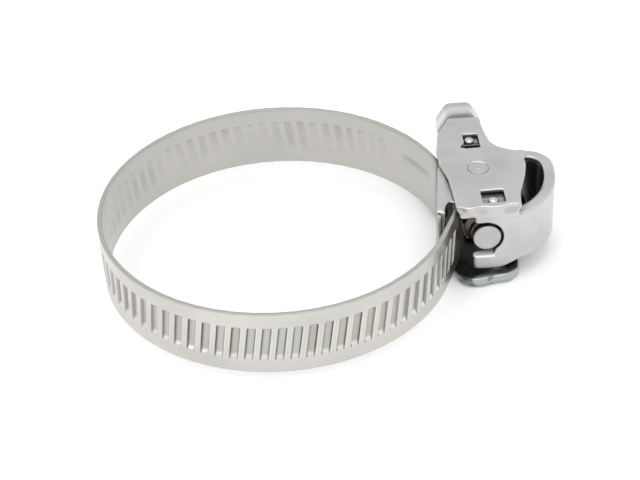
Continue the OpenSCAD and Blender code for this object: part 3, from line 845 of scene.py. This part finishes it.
# Carrier: one thicker sheet folded into a plate with two punched windows, a rear wall that holds the
# screw's neck, a lower arm, and a front wall with an open notch that runs on into the round thumb loop.
plate_edge = ((-6.6, 10.1), (-5.8, 15.2), (-3.1, 20), (2.6, 20), (2.9, 15.4), (3.4, 12), (4.6, 10),
              (6.4, 9), (8.6, 8), (8.6, 3.8), (7.9, 0.6), (6.2, -4.6), (5.6, -8.9), (-4.7, -8.9),
              (-5.5, -7.8), (-5.5, -4.6), (-5.7, 1), (-6.7, 5.9))
plate_z = (6.85, 7.65)
rear_wall = ((32.9, 19.2), (38.6, 19.2), (38.6, 20.0), (32.9, 20.0))
lower_arm = ((33.4, 0.6), (38.6, 0.6), (38.6, 20.0), (33.4, 20.0))
arm_z = (-5.95, -5.15)
rear_window = ((34.75, 10.0), (37.45, 10.0), (37.45, 14.6), (34.75, 14.6))
rear_window_nick = ((33.9, 10.4), (35.1, 10.0), (35.1, 12.2), (34.3, 11.6))
front_window = ((35.3, -7.1), (39.25, -7.1), (39.25, -3.45), (35.3, -3.45))
pivot_at = (36.0, 3.6)
pivot_hole_r = 1.95
stub_hole_r = 1.35
pivot_sink = 0.2
screw_z = 1.0
neck_hole_r = 1.65
loop_centre = (37.9, 2.6)
loop_r = 10.48
loop_turn = math.radians(6)
loop_back_r = 3.98
loop_end = math.radians(86)
loop_half = 0.9
wall_from = 33.6
wall_line = -8.0
front_y = -8.9
lip_edge = ((31.1, -8.9), (41.2, -8.9), (41.2, -7.8), (31.1, -8.1))
lip_top = 7.5
wall_foot, loop_foot = -5.4, -4.1
foot_from, foot_to = 37.6, 42.4
rim_at = 5.35
rim_slope = math.tan(math.radians(9.4))
notch_at = (35.6, 1.3)
notch_r = 3.15
notch_box = ((26.0, -2.55), (37.0, -2.55), (37.6, -1.0), (36.1, 1.0), (36.1, 4.4), (26.0, 4.4))
carrier_low, carrier_high = (28.6, -9.6, -6.7), (49.6, 20.8, 8.3)

x, y, z = space(carrier_low, carrier_high, sheet_step)
sheet_wave = 0.06 * np.sin(x * 0.6 + 1.0) * np.sin(y * 0.4 + 0.3) + 0.03 * np.sin(x * 1.3 - y * 0.8)
plate = softened(outline(beside_axis(plate_edge), x, y), 3)
plate = both(plate, between(z - sheet_wave * 0.5, *plate_z), 0.34)
rear_window_field = np.minimum(outline(rear_window, x, y), outline(rear_window_nick, x, y))
windows = np.minimum(softened(rear_window_field, 1), softened(outline(front_window, x, y), 1))
plate = without(plate, windows, 0.25)
out_x, out_y = x - loop_centre[0], y - loop_centre[1]
bearing = np.arctan2(out_y, out_x)
on_front = (bearing > -math.pi / 2) & (bearing < loop_turn)
front_arc = np.where(on_front, np.abs(np.hypot(out_x, out_y) - loop_r), 99.0)
back_x = out_x - (loop_r - loop_back_r) * math.cos(loop_turn)
back_y = out_y - (loop_r - loop_back_r) * math.sin(loop_turn)
bearing = np.arctan2(back_y, back_x)
end_x, end_y = loop_back_r * math.cos(loop_end), loop_back_r * math.sin(loop_end)
on_back = (bearing >= loop_turn) & (bearing < loop_end)
back_arc = np.abs(np.hypot(back_x, back_y) - loop_back_r)
arc = np.minimum(front_arc, np.where(on_back, back_arc, np.hypot(back_x - end_x, back_y - end_y)))
straight_x = np.maximum(wall_from + loop_half - x, x - loop_centre[0])
straight = np.hypot(np.maximum(straight_x, 0), y - wall_line)
strap = np.minimum(arc - 0.12, straight) - loop_half
foot_share = np.clip((x - foot_from) / (foot_to - foot_from), 0, 1)
foot_share = foot_share * foot_share * (3 - 2 * foot_share)
foot = wall_foot + (loop_foot - wall_foot) * foot_share
rim = np.minimum(rim_at + (y - front_y) * rim_slope, plate_z[1] - 0.05)
rim = np.maximum(rim, 6.7 - 1.7 * np.clip((x - 40.4) / 1.1, 0, 1))
strap = both(strap, np.maximum(foot - z, z - rim), 0.38)
notch = np.minimum(np.hypot(x - notch_at[0], z - notch_at[1]) - notch_r, outline(notch_box, x, z))
strap = without(strap, notch, 0.3)
lip_line = 5.75 + 0.16 * np.sin(x * 1.5 + 0.6)
lip = both(outline(lip_edge, x, y), between(z, lip_line, lip_top), 0.3)
rear = both(outline(rear_wall, x, y), between(z, arm_z[0] + 0.1, plate_z[1] - 0.1), 0.3)
rear = without(rear, np.hypot(x - axis_x, z - screw_z) - neck_hole_r, 0.15)
arm = both(softened(outline(lower_arm, x, y), 2), between(z, *arm_z), 0.3)
whole = joined(joined(plate, lip, 1.0), strap, 1.0)
# The fold along the plate's front was beaten unevenly, so its upper edge wanders
beaten = 0.24 + 0.20 * np.cos((x - 34.9) * 1.45)
beaten = beaten + 0.7 * np.clip((x - 38.8) / 2.4, 0, 1)
beaten = beaten + 0.5 * np.clip((32.4 - x) / 1.4, 0, 1)
beaten = beaten * np.clip((z - 6.2) / 1.1, 0, 1)
whole = np.where(x < 42.0, both(whole, (front_y + beaten - y) * 0.8, 0.3), whole)
whole = joined(whole, joined(rear, arm, 0.8), 0.8)
pivot_gap = np.hypot(x - pivot_at[0], y - pivot_at[1])
whole = without(whole, np.maximum(pivot_gap - pivot_hole_r, plate_z[1] - pivot_sink - z), 0.2)
whole = without(whole, pivot_gap - stub_hole_r, 0.1)
carrier_mesh = skin("release_carrier_sheet", whole, carrier_low, sheet_step)
paint_interior_shade(carrier_mesh)
# The ledge under the screw's tip is painted near white and less metallic, a painted highlight
cx, cy, cz = millimetres(carrier_mesh)
on_ledge = (cx > 33.6) & (cx < 37.3) & (cy > -8.8) & (cy < -7.2)
paint(carrier_mesh, "ledge_highlight", np.clip((0.35 - np.abs(cz + 2.55)) / 0.1, 0, 1) * on_ledge)

carrier_steel, tree, shader, place_mm = metal("tumbled_carrier_steel", 0.32)
finish = placed_group(tree, tumbled, place_mm, Grain=1.0)
edge_highlight_node = placed_group(tree, edge_highlight, place_mm, From=0.51, To=0.56)
gap_shade = placed_group(tree, occlusion_shade, place_mm, Depth=1.25)
broad = noise(tree, place_mm, 0.13, 2.0)
broad = clamped(tree, arith(tree, "MULTIPLY_ADD", broad, 3.0, -1.0))
base = mixed(tree, broad, (0.62, 0.612, 0.60), (0.52, 0.512, 0.505))
base = laid(tree, base, finish.outputs["Cloud"], 0.25, (0.47, 0.47, 0.47))
# Painted highlight on sharp edges
base = laid(tree, base, edge_highlight_node.outputs["Mask"], 0.55, (0.84, 0.84, 0.83))
# Painted shade in the gaps and inside the loop
base = laid(tree, base, gap_shade.outputs["Mask"], 0.9, (0.04, 0.038, 0.034))
# Painted shade inside the housing
base = laid(tree, base, read(tree, "interior_shade_share"), 0.96, INTERIOR_SHADE)
# Painted highlight on the ledge under the screw's tip
base = mixed(tree, read(tree, "ledge_highlight"), base, (0.97, 0.97, 0.96))
dull = arith(tree, "SUBTRACT", 1.0, arith(tree, "MULTIPLY", read(tree, "ledge_highlight"), 0.85))
tree.links.new(dull, shader.inputs["Metallic"])
tree.links.new(base, shader.inputs["Base Color"])
roughened(tree, shader, finish.outputs["Cloud"], 0.16, 0.24)
bumped(tree, shader, finish.outputs["Height"], 0.4, 0.10)
shown("release_carrier_sheet", carrier_mesh, carrier_steel, "carrier", "carrier_steel", "release_carrier")

# Pivot rivets: short stubs fixed in the bracket's two cheeks, on which the carrier rocks. The upper one's
# head lies in a shallow round seat in the plate and is punched in the middle.
upper_pivot = [(0, 5.6), (1.75, 5.6), (1.85, 5.7), (1.85, 6.0), (1.75, 6.1), (1.3, 6.1), (1.3, 7.4),
               (1.6, 7.42), (1.8, 7.45), (1.84, 7.51), (1.7, 7.56), (1.25, 7.57), (1.0, 7.52),
               (0.7, 7.44), (0.42, 7.45), (0.25, 7.54), (0.1, 7.59), (0, 7.6)]
lower_pivot = [(0, -7.3), (1.3, -7.3), (1.3, -5.1), (1.75, -5.1), (1.85, -5.0), (1.85, -4.7),
               (1.75, -4.6), (0.9, -4.5), (0, -4.48)]
stub_place = Matrix.Translation((pivot_at[0], pivot_at[1], 0))
pivot_mesh = gather("pivot_stub_pair", [(turned(upper_pivot, dent=0.012), stub_place),
                                        (turned(lower_pivot), stub_place)])
paint_interior_shade(pivot_mesh)
shown("pivot_stub_pair", pivot_mesh, rivet_steel, "band_and_bracket", "rivet_steel", "pivot_rivets")

# Stop studs: bright domes staked into the upper cheek, one in each window of the plate, that stop its
# rocking.
stud_spots = ((35.8, 13.2), (37.2, -5.9))
stud_profile = [(0, 6.1), (0.54, 6.1), (0.54, 6.8)] + dome(0.9, 6.8, 7.55, 0.5, 0.06) + [(0, 7.55)]
stud_mesh = gather("stop_stud_pair", [(turned(stud_profile, dent=0.03), Matrix.Translation((u, v, 0)))
                                      for u, v in stud_spots])
stud_steel, tree, shader, place_mm = metal("bright_stud_steel", 0.2)
finish = placed_group(tree, tumbled, place_mm, Grain=2.0)
base = mixed(tree, finish.outputs["Cloud"], (0.72, 0.72, 0.71), (0.50, 0.50, 0.50))
tree.links.new(base, shader.inputs["Base Color"])
bumped(tree, shader, finish.outputs["Height"], 0.6, 0.08)
shown("stop_stud_pair", stud_mesh, stud_steel, "band_and_bracket", "stud_steel", "stop_studs")

# Return spring: a bent leaf of spring steel between the bracket's stop and the front wall, coloured near
# black as painted shade.
leaf_centre = (39.9, -2.82)
leaf_r = 3.82
leaf_t = 0.5
leaf_wrap = math.radians(88)
leaf_z = (-2.5, 4.5)
leaf_low, leaf_high = (39.3, -7.2, -3.0), (44.3, 1.6, 5.0)
leaf_step = 0.12
x, y, z = space(leaf_low, leaf_high, leaf_step)
out_x, out_y = x - leaf_centre[0], y - leaf_centre[1]
bearing = np.abs(np.arctan2(out_y, out_x))
leaf = np.abs(np.hypot(out_x, out_y) - leaf_r + leaf_t / 2) - leaf_t / 2
leaf = both(np.maximum(leaf, (bearing - leaf_wrap) * leaf_r), between(z, *leaf_z), 0.15)
leaf_mesh = skin("return_leaf", leaf, leaf_low, leaf_step)
leaf_steel, tree, shader, place_mm = metal("shade_dark_spring_steel", 0.42)
finish = placed_group(tree, tumbled, place_mm, Grain=1.0)
# Near-black colour painted as shade on the spring inside the housing
base = mixed(tree, finish.outputs["Cloud"], (0.05, 0.05, 0.052), (0.09, 0.088, 0.085))
tree.links.new(base, shader.inputs["Base Color"])
bumped(tree, shader, finish.outputs["Height"], 0.4, 0.06)
shown("return_leaf", leaf_mesh, leaf_steel, "band_and_bracket", "spring_steel", "return_spring")

# Worm screw: turned from bar, with a plain tip, a rolled thread that meets the pockets, a plain shank, a
# neck held in the rear wall, a collar and a tumbled hexagon with a slot.
tip_y, thread_from, thread_to, shoulder_y = -8.4, -6.9, 1.1, 19.1
collar_from, collar_to, head_end = 20.1, 21.3, 30.5
tip_r, root_r, crest_r, shank_r, neck_r, collar_r = 2.5, 2.7, 3.6, 2.5, 1.6, 4.3
lead = pocket_pitch
rib_foot, rib_crest = 0.95, 0.3
hex_half = 4.0
slot_half, slot_deep = 0.6, 1.6
screw_low, screw_high = (31.2, -8.9, -3.9), (40.9, 31.0, 5.9)
screw_step = 0.13
x, y, z = space(screw_low, screw_high, screw_step)
across_x, across_z = x - axis_x, z - screw_z
radius = np.hypot(across_x, across_z)
bearing = np.arctan2(across_z, across_x)
tip = both(radius - tip_r, between(y, tip_y, thread_from + 0.5), 0.3)
root = both(radius - root_r, between(y, thread_from, thread_to), 0.2)
rib_start = thread_from + 1.1 * rib_foot
rib_offset = (y - rib_start - lead * bearing / (2 * math.pi) + lead / 2) % lead - lead / 2
rib_share = np.clip((rib_foot - np.abs(rib_offset)) / (rib_foot - rib_crest), 0, 1)
grow = np.clip(np.minimum(y - thread_from - 0.5, thread_to - 0.5 - y) / 0.8, 0, 1)
rib = (radius - root_r - (crest_r - root_r) * rib_share * grow) * 0.7
rib = np.maximum(rib, between(y, thread_from + 0.3, thread_to - 0.3))
shank = both(radius - shank_r, between(y, thread_to - 0.5, shoulder_y), 0.25)
neck = np.maximum(radius - neck_r, between(y, shoulder_y - 0.5, collar_from + 0.5))
collar = both(radius - collar_r, between(y, collar_from, collar_to), 0.35)
hexagon = np.abs(across_z) - hex_half
for turn in (30, 150):
    side = across_x * math.cos(math.radians(turn)) + across_z * math.sin(math.radians(turn))
    hexagon = both(hexagon, np.abs(side) - hex_half, 0.9)
hexagon = both(hexagon, between(y, collar_to - 0.5, head_end), 0.9)
hexagon = both(hexagon, radius + (y - head_end) * 0.6 - 4.4, 0.5)
slot = np.maximum(np.abs(across_z) - slot_half, head_end - slot_deep - y)
hexagon = without(hexagon, slot, 0.3)
whole = joined(np.minimum(np.minimum(tip, root), rib), joined(shank, neck, 0.2), 0.1)
whole = np.minimum(whole, joined(collar, hexagon, 0.5))
screw_mesh = skin("worm_screw_turned", whole, screw_low, screw_step)
# The screw is painted dark as shade inside the housing, and a painted shadow lies behind the rear wall
# and round the collar
screw_shade_from, screw_shade_to, collar_shadow_to = -8.25, 19.3, 26.0
sy = millimetres(screw_mesh)[1]
inside_share = np.clip(np.minimum(sy - screw_shade_from, screw_shade_to - sy) / 0.15, 0, 1)
collar_shadow_share = np.clip(np.minimum(sy - screw_shade_to, collar_shadow_to - sy) / 0.8, 0, 1) * 0.84
paint(screw_mesh, "interior_shade_share", np.maximum(inside_share, collar_shadow_share))
# Painted highlight: a bright band round the hexagon head
paint(screw_mesh, "polished", np.exp(-((sy - 27.4) / 1.2) ** 2))

screw_steel, tree, shader, place_mm = metal("tumbled_screw_steel", 0.36)
finish = placed_group(tree, tumbled, place_mm, Grain=1.6)
edge_highlight_node = placed_group(tree, edge_highlight, place_mm, From=0.51, To=0.56)
gap_shade = placed_group(tree, occlusion_shade, place_mm, Depth=1.5)
base = mixed(tree, finish.outputs["Cloud"], (0.54, 0.54, 0.53), (0.43, 0.43, 0.43))
# Painted highlight on sharp edges
base = laid(tree, base, edge_highlight_node.outputs["Mask"], 0.5, (0.76, 0.76, 0.76))
# Painted shade in the thread and gaps
base = laid(tree, base, gap_shade.outputs["Mask"], 0.9, (0.03, 0.03, 0.028))
# Painted highlight band on the head
base = laid(tree, base, read(tree, "polished"), 0.6, (0.82, 0.82, 0.82))
# Painted shade inside the housing and painted shadow behind the rear wall
base = laid(tree, base, read(tree, "interior_shade_share"), 0.94, INTERIOR_SHADE)
tree.links.new(base, shader.inputs["Base Color"])
roughened(tree, shader, finish.outputs["Cloud"], 0.2, 0.28)
bumped(tree, shader, finish.outputs["Height"], 0.45, 0.12)
shown("worm_screw_turned", screw_mesh, screw_steel, "screw", "screw_steel", "worm_screw")
